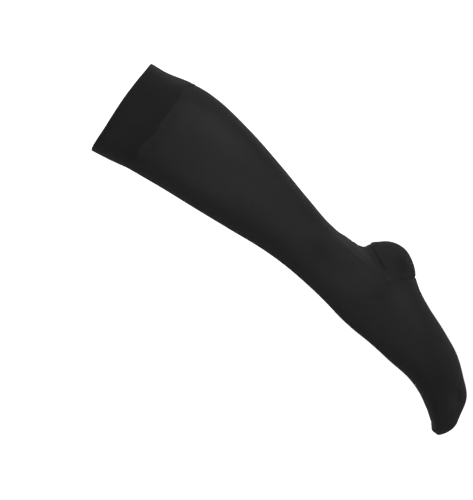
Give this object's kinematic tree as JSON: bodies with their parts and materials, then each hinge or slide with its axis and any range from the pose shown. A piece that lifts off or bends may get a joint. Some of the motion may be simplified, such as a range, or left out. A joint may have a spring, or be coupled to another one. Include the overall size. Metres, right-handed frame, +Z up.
{
  "type": "compression stocking",
  "caption": "Knee-high compression stocking with a closed toe, turned top band and heel pocket, hollow, filled out as on a bent leg with the foot pointing down.",
  "frame": {"origin": "middle of the top opening, where the wearer's leg just below the knee holds the stocking", "axes": "+Z up; the leg runs down towards +X and the toe points down; -Y is the outer side of a left leg, +Y its inner side"},
  "size_m": [0.4391, 0.11, 0.4347],
  "materials": {
    "band_knit": "matte black double knit, firm, slightly darker than the leg",
    "leg_knit": "matte black fine microfibre knit with a faint sheen at grazing light",
    "reinforced_knit": "matte black reinforced knit of the heel and toe"
  },
  "bodies": {
    "root": {"top_band": "band_knit", "leg": "leg_knit", "heel_pocket": "reinforced_knit", "foot": "leg_knit", "toe_cap": "reinforced_knit"}
  },
  "joints": []
}
